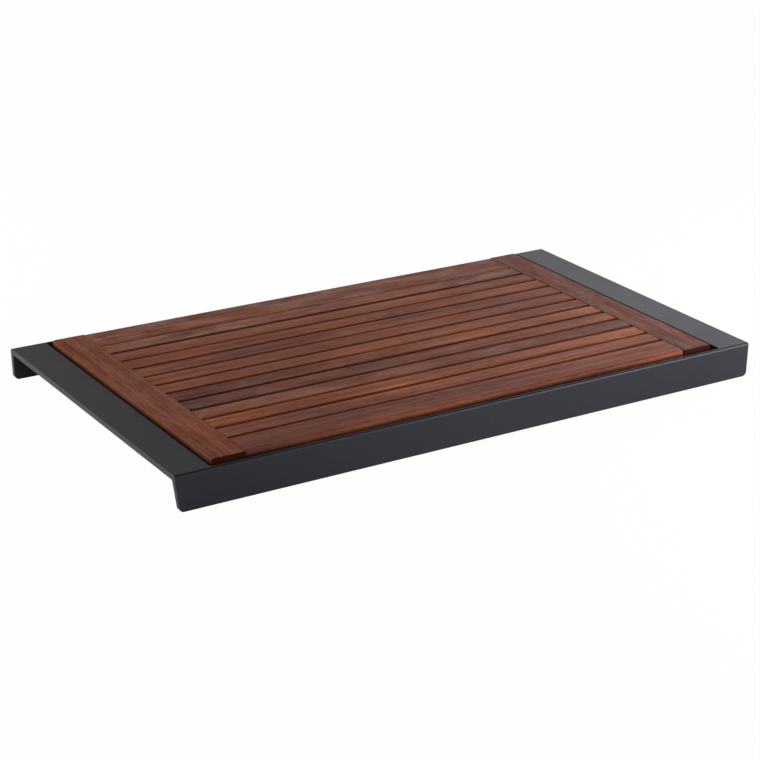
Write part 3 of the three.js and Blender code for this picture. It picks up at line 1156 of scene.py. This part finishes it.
    def build(self, coat: bpy.types.Material, rubber: bpy.types.Material) -> None:
        """Builds the frame's pieces and hangs them on the frame.

        Args:
            coat: The coat's material.
            rubber: The bumpers' material.
        """
        finish_piece(self.build_sheet(coat), Body.FRAME, ["folded_frame"])
        for kind, kind_name in (("support_bar", "cross_bar"), ("plate_rib", "stiffening_rib")):
            for side in ("left", "right"):
                bar = self.build_bar(f"{kind}_{side}", f"{side}_{kind_name}", coat)
                finish_piece(bar, Body.FRAME, [f"{kind}_{side}"])
        corners = corner_tree()
        span_x = -sum(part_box("support_bar_left"), Vector()).x
        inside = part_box("folded_frame")[1].y - self.sheet
        bead = self.bead_pattern(coat)
        at_bars = {"Piece": bead, "Span X": span_x, "Span Y": 2 * inside, "Finish": coat}
        finish_piece(smooth(grow("bar_weld_beads", corners, at_bars)), Body.FRAME, [])
        bumper = self.bumper_pattern(rubber)
        span_y = -sum(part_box("bumper_left_front"), Vector()).y
        in_bars = {"Piece": bumper, "Span X": span_x, "Span Y": span_y, "Finish": rubber}
        bumpers = smooth(grow("rail_bumpers", corners, in_bars))
        nodes = [f"bumper_{end}_{side}" for end in ("left", "right") for side in ("front", "back")]
        finish_piece(bumpers, Body.FRAME, nodes)
        discard(bead, bumper)


@dataclass(frozen=True)
class Slat:
    """One slat of the row, for no two are quite alike.

    Front and back say how many millimetres its front and back edges lie behind their even places, and rough
    how dark the painted shade on its sides is.
    """

    board: Board
    front: float
    back: float
    rough: float


@dataclass
class SlattedGrid:
    """The wooden grid that lifts out: two end rails, thirteen slats, a batten under them and its screws."""

    eased: float = 0.5 * MM
    rounded: float = 2.5 * MM
    end_ease: float = 0.4 * MM
    slat_front: float = 0.7 * MM
    back_slat_front: float = 1.2 * MM
    # Painted highlight on the slats' front edges, partly bare wood, and on the top's back strip
    slat_bare_and_lit: float = 0.15
    slat_top_highlight: float = 0.6
    slat_stations: int = 24
    left_joint: float = 0.1 * MM
    right_joint: float = 0.6 * MM
    # How deep from the top the front slat's and the rails' outer sides stay free of painted shade
    front_unshaded_depth: float = 3.6 * MM
    rail_unshaded_depth: float = 4 * MM
    rail_end_sawn: float = 1.3
    rail_stations: int = 16
    uneven_level: float = 0.12 * MM
    waver: float = 0.12 * MM
    seed: int = 11
    seat_clearance: float = 0.3 * MM
    seat_depth: float = 4 * MM
    seat_slope: float = 2 * MM
    screw_shank: float = 1.7 * MM
    screw_cone: float = 2 * MM
    screw_point: float = 1.8 * MM
    screw_rim: float = 0.15 * MM
    screw_sides: int = 32
    recess_span: float = 1.6 * MM
    recess_slot: float = 0.4 * MM
    recess_depth: float = 1 * MM
    slats: tuple[Slat, ...] = (
        Slat(Board.DARK, 0.0, 0.2, 0.9),
        Slat(Board.RED, 0.1, 0.0, 0.8),
        Slat(Board.ORANGE, 0.2, -0.4, 0.85),
        Slat(Board.FADED, -0.2, -0.2, 0.75),
        Slat(Board.SHADED, 0.0, 0.0, 0.95),
        Slat(Board.SHADED, 0.4, -0.2, 1.15),
        Slat(Board.RED, 0.0, -0.7, 0.9),
        Slat(Board.BROWN, -0.3, 0.2, 0.85),
        Slat(Board.BROWN, -0.2, 0.1, 0.6),
        Slat(Board.RED, 0.1, 0.0, 1.1),
        Slat(Board.PLAIN, 0.1, -0.3, 0.65),
        Slat(Board.DRY, 0.6, 0.4, 1.15),
        Slat(Board.DRY, -0.7, 0.0, 0.45),
    )

    def nodes(self, kind: str) -> list[str]:
        """Names the CAD nodes of a kind that has one at each slat, from the front."""
        return [f"{kind}_{number + 1:02d}" for number in range(len(self.slats))]

    def slat_pattern(
        self, node: str, wood: bpy.types.Material, front: float, back: float, unshaded_depth: float
    ) -> bpy.types.Object:
        """Builds one slat, centred on Y.

        Args:
            node: The CAD node that gives its size.
            wood: The wood's material.
            front: The radius of its upper front edge.
            back: The radius of its upper back edge.
            unshaded_depth: How deep from the top its front side stays free of painted shade.

        Returns:
            The pattern to copy.
        """
        low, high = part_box(node)
        half = (high.y - low.y) / 2
        bar = EasedBar(
            Vector((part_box("end_rail_left")[1].x + self.left_joint, -half, low.z)),
            Vector((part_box("end_rail_right")[0].x - self.right_joint, half, high.z)),
            Grain.ALONG_X,
            (self.eased, self.eased, back, front),
            self.end_ease,
            # Painted highlight on the front edge and the top's back strip; painted shade low on the front
            # side
            bare_and_lit=(self.slat_bare_and_lit, 0.0),
            top_highlight=self.slat_top_highlight,
            unshaded_depth=(unshaded_depth, 0.0),
            waver=self.waver,
            stations=self.slat_stations,
        )
        return bar.build(f"{node}_pattern", wood)

    def build_slats(self, tree: bpy.types.NodeTree, wood: bpy.types.Material) -> bpy.types.Object:
        """Builds the row of slats.

        Args:
            tree: The tree that sets copies in a row.
            wood: The wood's material.

        Returns:
            The slats as one piece.
        """
        front = self.slat_pattern("slat_01", wood, self.rounded, self.eased, self.front_unshaded_depth)
        inner = self.slat_pattern("slat_02", wood, self.slat_front, self.eased, 0.0)
        back = self.slat_pattern("slat_13", wood, self.back_slat_front, self.rounded, 0.0)
        values = self.row_values((front, inner, back), wood) | {"Uneven Level": self.uneven_level}
        slats = grow("deck_slats", tree, values)
        discard(front, inner, back)
        numbers = [round(item.value) for item in slats.data.attributes["board"].data]
        self.vary_slats(slats.data, numbers)
        mark_board(slats.data, [slat.board for slat in self.slats], numbers)
        return smooth(slats)

    def vary_slats(self, mesh: bpy.types.Mesh, numbers: list[int]) -> None:
        """Moves each slat's edges and sets how dark the painted shade on its sides is, as the list of slats
        says.

        Args:
            mesh: The mesh of the row.
            numbers: For each point, which slat it belongs to.
        """
        spans = [tuple(corner.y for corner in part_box(node)) for node in self.nodes("slat")]
        sawn = mesh.attributes["sawn"].data
        for point, number in enumerate(numbers):
            slat, (low, high) = self.slats[number], spans[number]
            place = mesh.vertices[point].co
            across = (place.y - low) / (high - low)
            place.y += (slat.front * (1 - across) + slat.back * across) * MM
            # Each slat's sides get their own strength of painted shade
            sawn[point].value *= slat.rough

    def row_values(self, pieces: tuple[bpy.types.Object, ...], finish: bpy.types.Material) -> dict[str, Any]:
        """Gives the row tree's inputs for one copy at each slat.

        Args:
            pieces: What is copied at the front slat, at the inner ones and at the back one.
            finish: The copies' material.

        Returns:
            The inputs by name.
        """
        front, inner, back = pieces
        middles = [sum(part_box(node), Vector()).y / 2 for node in self.nodes("slat")]
        return {
            "Front Piece": front,
            "Inner Piece": inner,
            "Back Piece": back,
            "Inner Count": len(middles) - 2,
            "First Place": middles[1],
            "Pitch": middles[2] - middles[1],
            "Front Place": middles[0],
            "Back Place": middles[-1],
            "Uneven Level": 0.0,
            "Uneven Turn": 0.0,
            "Seed": self.seed,
            "Finish": finish,
        }

    def build_rail(self, side: str, wood: bpy.types.Material) -> bpy.types.Object:
        """Builds an end rail, its outer edge rounded.

        Args:
            side: left or right.
            wood: The wood's material.

        Returns:
            The rail.
        """
        low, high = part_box(f"end_rail_{side}")
        left = side == "left"
        upper = (self.eased, self.rounded) if left else (self.rounded, self.eased)
        bar = EasedBar(
            low,
            high,
            Grain.ALONG_Y,
            (self.eased, self.eased, *upper),
            self.eased,
            # Painted highlight on the outer edge, partly bare wood, and painted shade low on the outer side
            bare_and_lit=(1.0, 0.0) if left else (0.0, 1.0),
            unshaded_depth=(self.rail_unshaded_depth, 0.0) if left else (0.0, self.rail_unshaded_depth),
            end_sawn=self.rail_end_sawn,
            waver=self.waver,
            stations=self.rail_stations,
        )
        rail = bar.build(f"{side}_rail", wood)
        board = Board.LEFT_RAIL if left else Board.RIGHT_RAIL
        mark_board(rail.data, [board], [0] * len(rail.data.vertices))
        return smooth(rail)

    def build_batten(self, wood: bpy.types.Material) -> bpy.types.Object:
        """Builds the batten under the slats, countersunk for its screws.

        Args:
            wood: The wood's material.

        Returns:
            The batten.
        """
        low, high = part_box("cross_batten")
        batten = EasedBar(low, high, Grain.ALONG_Y, (self.eased,) * 4, self.eased).build("under_batten", wood)
        seats = []
        for node in self.nodes("batten_screw"):
            head_low, head_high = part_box(node)
            middle = (head_low + head_high) / 2
            mouth = (head_high.x - head_low.x) / 2 + self.seat_clearance
            bore, below, end = mouth - self.seat_slope, low.z - mouth, low.z + self.seat_depth
            profile = [(0.0, below), (2 * mouth, below), (mouth, low.z), (bore, low.z + self.seat_depth / 2)]
            profile += [(bore, end), (0.0, end)]
            seat = turned_profile("screw_seat", profile, self.screw_sides)
            seat.data.transform(Matrix.Translation((middle.x, middle.y, 0)))
            seats.append(seat)
        cut_away(batten, seats)
        mark_board(batten.data, [Board.BROWN], [0] * len(batten.data.vertices))
        return batten

    def screw_pattern(self, steel: bpy.types.Material) -> bpy.types.Object:
        """Builds one countersunk screw with a cross recess, centred on its axis.

        Args:
            steel: The steel's material.

        Returns:
            The pattern to copy.
        """
        low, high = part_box("batten_screw_01")
        head, rim, shank = (high.x - low.x) / 2, self.screw_rim, self.screw_shank
        profile = [(0.0, low.z), (head - rim, low.z), (head, low.z + rim), (shank, low.z + self.screw_cone)]
        profile += [(shank, high.z - self.screw_point), (0.0, high.z)]
        screw = turned_profile("screw_pattern", profile, self.screw_sides)
        span, slot, deep = self.recess_span, self.recess_slot, self.recess_depth
        bars = (rectangle(span, slot), rectangle(slot, span))
        start = (low.z - deep) * UP
        cut_away(screw, [prism("recess", bar, start, TO_RIGHT, TO_BACK, 2 * deep * UP) for bar in bars])
        screw.data.materials.append(steel)
        return screw

    def build(self, woods: dict[str, bpy.types.Material], steel: bpy.types.Material) -> None:
        """Builds the grid's pieces and hangs them on the grid.

        Args:
            woods: The woods of the slats, of each rail and of the batten.
            steel: The screws' material.
        """
        tree = row_tree()
        finish_piece(self.build_slats(tree, woods["slats"]), Body.GRID, self.nodes("slat"))
        for side in ("left", "right"):
            finish_piece(self.build_rail(side, woods[side]), Body.GRID, [f"end_rail_{side}"])
        finish_piece(self.build_batten(woods["batten"]), Body.GRID, ["cross_batten"])
        screw = self.screw_pattern(steel)
        screws = grow("batten_screws", tree, self.row_values((screw,) * 3, steel) | {"Uneven Turn": math.pi})
        discard(screw)
        finish_piece(screws, Body.GRID, self.nodes("batten_screw"))


@dataclass(frozen=True)
class Softbox:
    """A rectangular soft lamp: where it hangs, what it points at, its width and height, power and colour."""

    name: str
    place: Place
    aim: Place
    size: Pair
    watts: float
    colour: str = "#f8f6ff"

    def build(self) -> None:
        """Hangs the lamp."""
        lamp = bpy.data.lights.new(self.name, "AREA")
        lamp.shape = "RECTANGLE"
        lamp.size, lamp.size_y = self.size
        lamp.energy = self.watts
        lamp.color = linear(self.colour)[:3]
        place = Vector(self.place)
        hang(self.name, lamp, place, Vector(self.aim) - place)


@dataclass(frozen=True)
class Studio:
    """A white floor and soft light from large lamps and the room.

    The shade is where the floor lies in the dark under the tray: left, right, front and back. The fields
    backdrop_top and wall_top say, as the height of a direction, where the backdrop and the walls fade out.
    """

    floor_size: float = 12.0
    floor_colour: str = "#f6f6f6"
    floor_drop: float = 0.2 * MM
    white_share: float = 0.97
    shade: tuple[float, float, float, float] = (-0.225, 0.3, -0.118, 0.146)
    shade_edge: float = 4 * MM
    sheen_reach: float = 0.3
    sheen: Stops = (
        (0.0, "#ffffff"), (1.0, "#adadad"), (0.05, "#737373"), (0.55, "#ffffff"), (0.85, "#c4c4c4"),
    )
    room_light: float = 0.42
    backdrop_top: Pair = (0.08, 0.22)
    wall_top: Pair = (0.45, 0.6)
    wall_shine: float = 0.48
    ceiling_shine: float = 0.02
    lamps: tuple[Softbox, ...] = (
        Softbox("back_right_softbox", (3.35, 2.0, 1.58), (0.1, 0.0, 0.0), (3.2, 1.5), 19.8),
        Softbox("front_right_softbox", (0.8, -0.62, 0.28), (0.2, -0.1, 0.0), (0.85, 0.5), 12.8),
        Softbox("back_left_softbox", (-0.9, 0.9, 0.3), (-0.2, 0.0, 0.0), (0.5, 0.5), 11.0, "#ffffff"),
    )

    def build_floor(self) -> None:
        """Builds the floor, which looks white to the camera and still takes the tray's shadow."""
        material, add = new_material("matte_white_paper")
        rays = add("ShaderNodeLightPath").node.outputs
        axes = add("ShaderNodeSeparateXYZ", (add("ShaderNodeTexCoord", out="Object"),)).node.outputs
        # Under the tray the paper lies in the dark, so that it doesn't shine up through the gaps
        left, right, front, back = self.shade
        beyond = []
        for axis, low, high in (("X", left, right), ("Y", front, back)):
            off = add("ShaderNodeMath", (axes[axis], (low + high) / 2), operation="SUBTRACT")
            far = add("ShaderNodeMath", (off,), operation="ABSOLUTE")
            reach = (high - low) / 2
            beyond.append(add("ShaderNodeMapRange", (far, reach - self.shade_edge, reach + self.shade_edge)))
        open_floor = add("ShaderNodeMath", tuple(beyond), operation="MAXIMUM")
        # The paper's sheen on the coat is strongest left of the tray and before the right half of the apron
        along = add("ShaderNodeMapRange", (axes["X"], -self.sheen_reach, self.sheen_reach))
        sheen = add("ShaderNodeValToRGB", (along,), stops=self.sheen)
        mirrored = (rays["Is Glossy Ray"], rays["Is Transmission Ray"])
        bounced = add("ShaderNodeMath", mirrored, operation="MAXIMUM")
        shone = add("ShaderNodeMath", (bounced, sheen), operation="MULTIPLY")
        seen = add("ShaderNodeMath", (rays["Is Camera Ray"], self.white_share), operation="MULTIPLY")
        either = add("ShaderNodeMath", (seen, shone), operation="MAXIMUM")
        share = add("ShaderNodeMath", (either, open_floor), operation="MULTIPLY")
        paper = add("ShaderNodeBsdfDiffuse", {"Color": linear(self.floor_colour)})
        glow = add("ShaderNodeEmission", {"Strength": 1.0})
        mixed = add("ShaderNodeMixShader", (share, paper, glow))
        # From below the paper is clear, so that the tray's underside can be looked at
        below = add("ShaderNodeNewGeometry", out="Backfacing")
        surface = add("ShaderNodeMixShader", (below, mixed, add("ShaderNodeBsdfTransparent")))
        add("ShaderNodeOutputMaterial", {"Surface": surface})
        corners = [(x, y, 0) for x, y in rectangle(self.floor_size / 2, self.floor_size / 2)]
        mesh = bpy.data.meshes.new("floor")
        mesh.from_pydata(corners, [], [(0, 1, 2, 3)])
        mesh.materials.append(material)
        floor = add_object("floor", mesh)
        floor.location.z = cad_box[0].z - self.floor_drop

    def build_room(self) -> None:
        """Builds the room's light, white behind the tray and low down in its shine, and dark above."""
        world = bpy.data.worlds.new("white_room")
        world.use_nodes = True
        world.node_tree.nodes.clear()
        add = partial(add_node, world.node_tree)
        rays = add("ShaderNodeLightPath").node.outputs
        up = add("ShaderNodeSeparateXYZ", (add("ShaderNodeTexCoord", out="Generated"),), "Z")
        # The white backdrop stands round the tray; the room above is dimmer, and its ceiling hardly shines
        low_down = add("ShaderNodeMapRange", (up, *self.backdrop_top, 1.0, 0.0))
        mirrored = (rays["Is Glossy Ray"], rays["Is Transmission Ray"])
        bounced = add("ShaderNodeMath", mirrored, operation="MAXIMUM")
        shone = add("ShaderNodeMath", (bounced, low_down), operation="MULTIPLY")
        seen = add("ShaderNodeMath", (rays["Is Camera Ray"], shone), operation="MAXIMUM")
        shine = add("ShaderNodeMapRange", (up, *self.wall_top, self.wall_shine, self.ceiling_shine))
        mix = {MIX_FACTOR: bounced, MIX_LOW: self.room_light, MIX_HIGH: shine}
        level = add("ShaderNodeMix", mix, data_type="FLOAT")
        white = linear("#ffffff")
        room = add("ShaderNodeBackground", {"Color": white, "Strength": level})
        backdrop = add("ShaderNodeBackground", {"Color": white, "Strength": 1.0})
        add("ShaderNodeOutputWorld", {"Surface": add("ShaderNodeMixShader", (seen, room, backdrop))})
        bpy.context.scene.world = world

    def build(self) -> None:
        """Builds the floor, the room and the lamps."""
        self.build_floor()
        self.build_room()
        for lamp in self.lamps:
            lamp.build()


@dataclass(frozen=True)
class PhotoCamera:
    """The camera at the photograph's place: from the left front, a little above, through a long lens."""

    place: Place = (-0.8776, -1.3469, 0.6396)
    look: Place = (0.5055, 0.7793, -0.3704)
    roll: float = 1.195
    focal_pixels: float = 2034.0
    image_pixels: float = 760.0
    sensor: float = 36.0

    def build(self) -> None:
        """Adds the camera and makes it the scene's own."""
        lens = bpy.data.cameras.new("photo_camera")
        lens.sensor_width = self.sensor
        lens.lens = self.focal_pixels / self.image_pixels * self.sensor
        roll = math.radians(self.roll)
        bpy.context.scene.camera = hang("photo_camera", lens, Vector(self.place), Vector(self.look), roll)


def main() -> None:
    """Builds the tray's looks, the studio and the camera."""
    logging.basicConfig(level=logging.INFO, format="%(name)s %(message)s")
    bpy.context.scene.view_settings.view_transform = "Standard"
    PhotoCamera().build()
    Studio().build()
    coat = PowderCoat().build()
    FoldedFrame().build(coat, Silicone().build())
    woods = {
        "slats": OiledHardwood("oiled_hardwood_slats", Grain.ALONG_X).build(),
        "left": OiledHardwood(
            "oiled_hardwood_quarter_sawn_rail",
            Grain.ALONG_Y,
            stripe=Streaks(600 * MM, 1.8 * MM, 4.0),
            stripe_share=0.85,
            contrast=0.378,
            # Lightened edges: partly bare wood, partly painted highlight
            lit_bare_edge="#703a1e",
            shine=0.02,
        ).build(),
        "right": OiledHardwood(
            "oiled_hardwood_plain_rail",
            Grain.ALONG_Y,
            stripe_share=0.5,
            pore_share=0.7,
            contrast=0.294,
            # Lightened edges: partly bare wood, partly painted highlight
            lit_bare_edge="#703a1e",
            shine=0.04,
        ).build(),
        "batten": OiledHardwood("oiled_hardwood_batten", Grain.ALONG_Y).build(),
    }
    SlattedGrid().build(woods, StainlessSteel().build())


if __name__ == "__main__":
    main()
